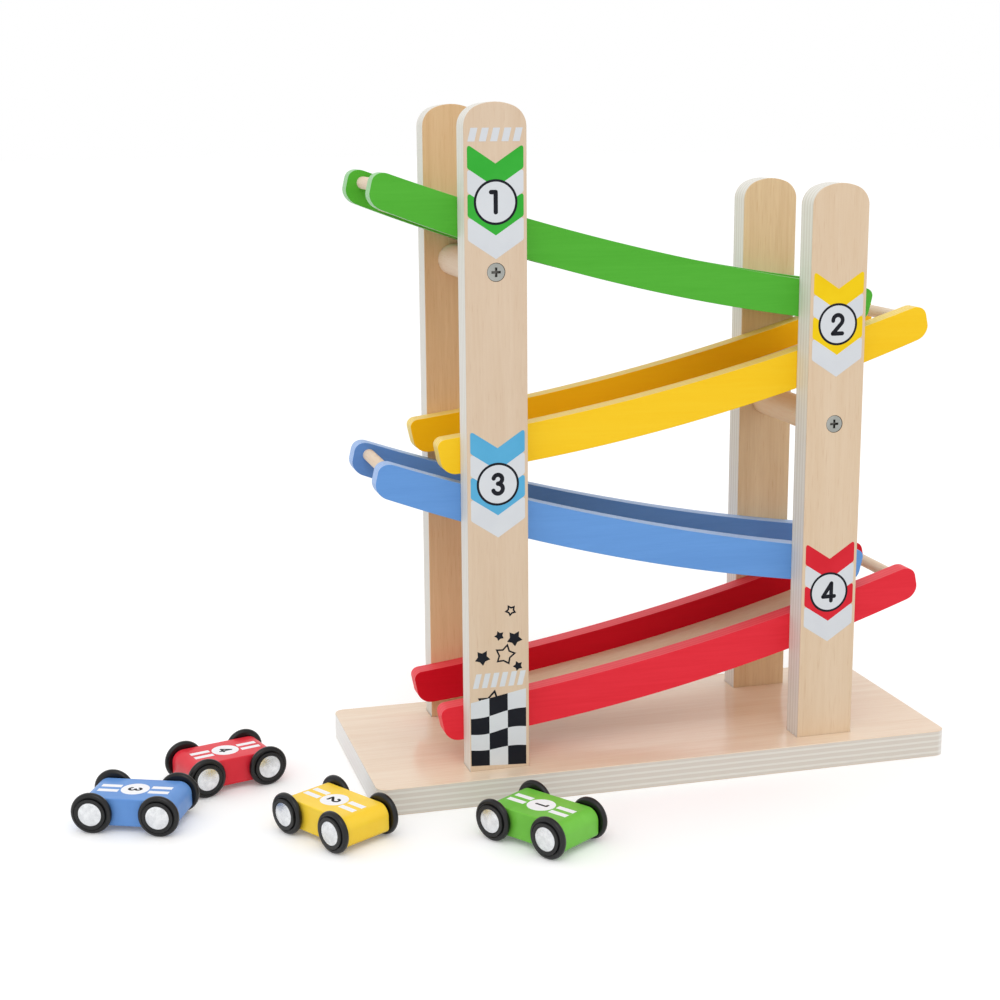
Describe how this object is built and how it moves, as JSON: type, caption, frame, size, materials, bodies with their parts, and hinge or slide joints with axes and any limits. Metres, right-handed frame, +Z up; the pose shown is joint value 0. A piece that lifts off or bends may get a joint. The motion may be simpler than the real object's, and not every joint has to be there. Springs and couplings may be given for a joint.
{
  "type": "click clack track toy",
  "caption": "Wooden click clack track toy: curved ramps zigzag down between posts on a base board, and small cars roll down them, turning over at each end.",
  "frame": {"origin": "centre of the base board's underside, on the table", "axes": "+X along the base board towards the shorter posts, +Y from the front posts to the rear posts, +Z up"},
  "size_m": [0.3919, 0.1753, 0.2952],
  "materials": {
    "base_ply": "clear satin on birch plywood",
    "post_ply": "clear satin on birch plywood",
    "floor_ply": "plain thin plywood",
    "dowel_wood": "plain turned wood",
    "screw_steel": "zinc plated",
    "axle_steel": "drawn wire",
    "wheel_plastic": "satin black",
    "hub_chrome": "bright plated",
    "red_ramp_paint": "satin paint on plywood",
    "blue_ramp_paint": "satin paint on plywood",
    "yellow_ramp_paint": "satin paint on plywood",
    "green_ramp_paint": "satin paint on plywood",
    "blue_car_paint": "gloss paint on wood",
    "red_car_paint": "gloss paint on wood",
    "yellow_car_paint": "gloss paint on wood",
    "green_car_paint": "gloss paint on wood"
  },
  "bodies": {
    "track": {"base_board": "base_ply", "front_left_post": "post_ply", "rear_left_post": "post_ply", "front_right_post": "post_ply", "rear_right_post": "post_ply", "left_spreader": "dowel_wood", "right_spreader": "dowel_wood", "frame_screws": "screw_steel", "red_front_rail": "red_ramp_paint", "red_rear_rail": "red_ramp_paint", "red_floor": "floor_ply", "red_stop_dowel": "dowel_wood", "blue_front_rail": "blue_ramp_paint", "blue_rear_rail": "blue_ramp_paint", "blue_floor": "floor_ply", "blue_stop_dowel": "dowel_wood", "yellow_front_rail": "yellow_ramp_paint", "yellow_rear_rail": "yellow_ramp_paint", "yellow_floor": "floor_ply", "yellow_stop_dowel": "dowel_wood", "green_front_rail": "green_ramp_paint", "green_rear_rail": "green_ramp_paint", "green_floor": "floor_ply", "green_stop_dowel": "dowel_wood"},
    "blue_car": {"blue_car_body": "blue_car_paint"},
    "blue_car_front_wheels": {"blue_car_front_axle": "axle_steel", "blue_car_front_left_wheel": "wheel_plastic", "blue_car_front_right_wheel": "wheel_plastic", "blue_car_front_hub_caps": "hub_chrome"},
    "blue_car_rear_wheels": {"blue_car_rear_axle": "axle_steel", "blue_car_rear_left_wheel": "wheel_plastic", "blue_car_rear_right_wheel": "wheel_plastic", "blue_car_rear_hub_caps": "hub_chrome"},
    "red_car": {"red_car_body": "red_car_paint"},
    "red_car_front_wheels": {"red_car_front_axle": "axle_steel", "red_car_front_left_wheel": "wheel_plastic", "red_car_front_right_wheel": "wheel_plastic", "red_car_front_hub_caps": "hub_chrome"},
    "red_car_rear_wheels": {"red_car_rear_axle": "axle_steel", "red_car_rear_left_wheel": "wheel_plastic", "red_car_rear_right_wheel": "wheel_plastic", "red_car_rear_hub_caps": "hub_chrome"},
    "yellow_car": {"yellow_car_body": "yellow_car_paint"},
    "yellow_car_front_wheels": {"yellow_car_front_axle": "axle_steel", "yellow_car_front_left_wheel": "wheel_plastic", "yellow_car_front_right_wheel": "wheel_plastic", "yellow_car_front_hub_caps": "hub_chrome"},
    "yellow_car_rear_wheels": {"yellow_car_rear_axle": "axle_steel", "yellow_car_rear_left_wheel": "wheel_plastic", "yellow_car_rear_right_wheel": "wheel_plastic", "yellow_car_rear_hub_caps": "hub_chrome"},
    "green_car": {"green_car_body": "green_car_paint"},
    "green_car_front_wheels": {"green_car_front_axle": "axle_steel", "green_car_front_left_wheel": "wheel_plastic", "green_car_front_right_wheel": "wheel_plastic", "green_car_front_hub_caps": "hub_chrome"},
    "green_car_rear_wheels": {"green_car_rear_axle": "axle_steel", "green_car_rear_left_wheel": "wheel_plastic", "green_car_rear_right_wheel": "wheel_plastic", "green_car_rear_hub_caps": "hub_chrome"}
  },
  "joints": [
    {"name": "blue_car_roll", "type": "slide", "parent": "track", "child": "blue_car", "axis": [-0.9178, 0.3971, 0], "range_m": [0, 0.06]},
    {"name": "blue_car_front_spin", "type": "hinge", "parent": "blue_car", "child": "blue_car_front_wheels", "pos_m": [-0.21855, -0.03562, 0.0088], "axis": [0.3971, 0.9178, 0], "continuous": true},
    {"name": "blue_car_rear_spin", "type": "hinge", "parent": "blue_car", "child": "blue_car_rear_wheels", "pos_m": [-0.24516, -0.0241, 0.0088], "axis": [0.3971, 0.9178, 0], "continuous": true},
    {"name": "red_car_roll", "type": "slide", "parent": "track", "child": "red_car", "axis": [0.9598, 0.2807, 0], "range_m": [0, 0.025]},
    {"name": "red_car_front_spin", "type": "hinge", "parent": "red_car", "child": "red_car_front_wheels", "pos_m": [-0.17636, 0.01043, 0.0088], "axis": [-0.2807, 0.9598, 0], "continuous": true},
    {"name": "red_car_rear_spin", "type": "hinge", "parent": "red_car", "child": "red_car_rear_wheels", "pos_m": [-0.2042, 0.00229, 0.0088], "axis": [-0.2807, 0.9598, 0], "continuous": true},
    {"name": "yellow_car_roll", "type": "slide", "parent": "track", "child": "yellow_car", "axis": [0.515, -0.8572, 0], "range_m": [0, 0.06]},
    {"name": "yellow_car_front_spin", "type": "hinge", "parent": "yellow_car", "child": "yellow_car_front_wheels", "pos_m": [-0.14604, -0.07743, 0.0088], "axis": [0.8572, 0.515, 0], "continuous": true},
    {"name": "yellow_car_rear_spin", "type": "hinge", "parent": "yellow_car", "child": "yellow_car_rear_wheels", "pos_m": [-0.16097, -0.05257, 0.0088], "axis": [0.8572, 0.515, 0], "continuous": true},
    {"name": "green_car_roll", "type": "slide", "parent": "track", "child": "green_car", "axis": [0.5606, -0.8281, 0], "range_m": [0, 0.06]},
    {"name": "green_car_front_spin", "type": "hinge", "parent": "green_car", "child": "green_car_front_wheels", "pos_m": [-0.06516, -0.10633, 0.0088], "axis": [0.8281, 0.5606, 0], "continuous": true},
    {"name": "green_car_rear_spin", "type": "hinge", "parent": "green_car", "child": "green_car_rear_wheels", "pos_m": [-0.08142, -0.08232, 0.0088], "axis": [0.8281, 0.5606, 0], "continuous": true}
  ]
}
